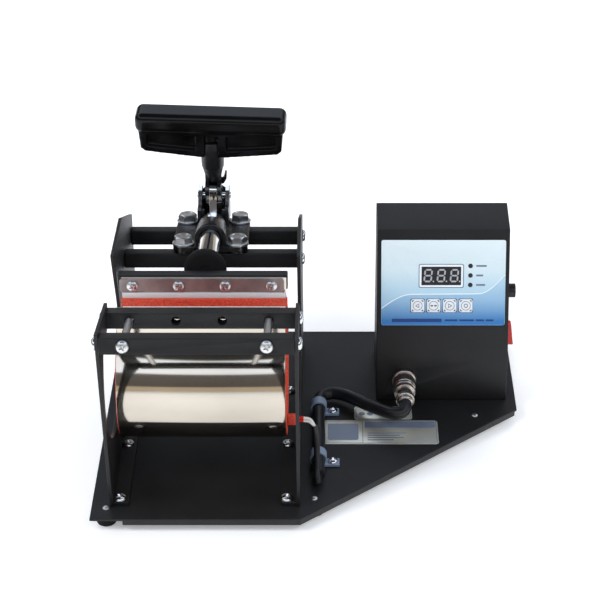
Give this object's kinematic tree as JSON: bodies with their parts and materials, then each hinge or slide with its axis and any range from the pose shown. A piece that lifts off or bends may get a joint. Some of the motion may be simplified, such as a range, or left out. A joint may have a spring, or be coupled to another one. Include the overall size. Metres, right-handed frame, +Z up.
{
  "type": "mug heat press",
  "caption": "Bench press that wraps a heater round a mug: side-plate frame, toggle clamp with T-grip, adjustable front bars and a digital control box on one base plate.",
  "frame": {"origin": "middle of the object's bounding box, on the surface that its rubber feet stand on", "axes": "+X to the operator's right, +Y away from the operator, +Z up"},
  "size_m": [0.324, 0.2819, 0.2323],
  "materials": {
    "black_coat": "matt powder coat with a fine texture",
    "rubber": "matt moulded",
    "chrome": "bright plated",
    "stainless": "polished sheet with a faint grain",
    "silicone": "matt speckled silicone",
    "dark_steel": "dark plated pressing",
    "gloss_black": "glossy moulded",
    "blue_film": "satin printed film",
    "display": "smoked window",
    "board_green": "varnished board",
    "button_white": "satin",
    "red_plastic": "translucent moulded",
    "nickel": "nickel plate",
    "lead_black": "satin sleeve",
    "clip_grey": "satin"
  },
  "bodies": {
    "root": {"base_plate": "black_coat", "foot_1": "rubber", "foot_2": "rubber", "foot_3": "rubber", "foot_4": "rubber", "foot_5": "rubber", "side_plate_left": "black_coat", "side_plate_right": "black_coat", "front_bar": "black_coat", "anchor_bar": "black_coat", "clamp_rail_front": "black_coat", "clamp_rail_rear": "black_coat", "wrap_shell_front": "stainless", "heater_pad_front": "silicone", "heater_terminal": "silicone", "anchor_strip": "stainless", "clamp_body": "dark_steel", "pivot_pin": "chrome", "clamp_washer_1": "chrome", "clamp_washer_2": "chrome", "clamp_washer_3": "chrome", "clamp_washer_4": "chrome", "clamp_bolt_1": "chrome", "clamp_bolt_2": "chrome", "clamp_bolt_3": "chrome", "clamp_bolt_4": "chrome", "control_box": "black_coat", "control_back": "black_coat", "mains_inlet": "gloss_black", "panel_overlay": "blue_film", "display_window": "display", "circuit_board": "board_green", "fuse_holder": "gloss_black", "rocker_housing": "red_plastic", "lead_socket": "nickel", "lead_plug": "nickel", "heater_lead": "lead_black", "heater_wires": "lead_black", "cable_clip_1": "clip_grey", "cable_clip_2": "clip_grey"},
    "lever": {"clamp_lever": "dark_steel", "link_pin": "chrome", "grip_neck": "gloss_black", "t_grip": "gloss_black"},
    "link": {"clamp_link": "dark_steel"},
    "plunger": {"clamp_plunger": "chrome", "plunger_foot": "rubber"},
    "wrap_rear": {"wrap_shell_rear": "stainless", "heater_pad_rear": "silicone", "pull_strip": "stainless", "pull_bar": "black_coat"},
    "tension_left": {"tension_bolt_left": "chrome"},
    "tension_right": {"tension_bolt_right": "chrome"},
    "rocker": {"rocker_switch": "red_plastic"},
    "fuse_cap": {"fuse_cap": "gloss_black"},
    "coupling_nut": {"coupling_nut": "nickel"},
    "button_1": {"button_1": "button_white"},
    "button_2": {"button_2": "button_white"},
    "button_3": {"button_3": "button_white"},
    "button_4": {"button_4": "button_white"}
  },
  "joints": [
    {"name": "handle_swing", "type": "hinge", "parent": "root", "child": "lever", "pos_m": [-0.079, 0.12422, 0.14974], "axis": [1, 0, 0], "range_deg": [0, 55]},
    {"name": "link_swing", "type": "hinge", "parent": "lever", "child": "link", "pos_m": [-0.079, 0.11297, 0.15966], "axis": [1, 0, 0], "range_deg": [-107, 0]},
    {"name": "plunger_slide", "type": "slide", "parent": "root", "child": "plunger", "axis": [0, -0.9877, 0.1564], "range_m": [0, 0.0168]},
    {"name": "wrap_close", "type": "hinge", "parent": "root", "child": "wrap_rear", "pos_m": [-0.079, -0.05382, 0.0515], "axis": [1, 0, 0], "range_deg": [0, 8.3]},
    {"name": "tension_left_turn", "type": "hinge", "parent": "root", "child": "tension_left", "pos_m": [-0.129, -0.13697, 0.16611], "axis": [0, -0.9816, 0.1908], "continuous": true},
    {"name": "tension_right_turn", "type": "hinge", "parent": "root", "child": "tension_right", "pos_m": [-0.03, -0.13697, 0.16611], "axis": [0, -0.9816, 0.1908], "continuous": true},
    {"name": "rocker_tilt", "type": "hinge", "parent": "root", "child": "rocker", "pos_m": [0.154, 0.07418, 0.051], "axis": [0, 1, 0], "range_deg": [0, 12]},
    {"name": "fuse_cap_turn", "type": "hinge", "parent": "root", "child": "fuse_cap", "pos_m": [0.158, 0.07418, 0.09], "axis": [1, 0, 0], "range_deg": [-60, 0]},
    {"name": "coupling_nut_turn", "type": "hinge", "parent": "root", "child": "coupling_nut", "pos_m": [0.0725, 0.02318, 0.032], "axis": [0, -1, 0], "continuous": true},
    {"name": "button_1_press", "type": "slide", "parent": "root", "child": "button_1", "axis": [0, 0.9541, -0.2994], "range_m": [0, 0.0005], "stiffness_N_per_m": 600},
    {"name": "button_2_press", "type": "slide", "parent": "root", "child": "button_2", "axis": [0, 0.9541, -0.2994], "range_m": [0, 0.0005], "stiffness_N_per_m": 600},
    {"name": "button_3_press", "type": "slide", "parent": "root", "child": "button_3", "axis": [0, 0.9541, -0.2994], "range_m": [0, 0.0005], "stiffness_N_per_m": 600},
    {"name": "button_4_press", "type": "slide", "parent": "root", "child": "button_4", "axis": [0, 0.9541, -0.2994], "range_m": [0, 0.0005], "stiffness_N_per_m": 600}
  ],
  "couplings": [
    {"joint": "link_swing", "follows": "handle_swing", "ratio": -1.9291},
    {"joint": "plunger_slide", "follows": "handle_swing", "m_per_rad": 0.017282},
    {"joint": "wrap_close", "follows": "handle_swing", "ratio": 0.14818}
  ]
}
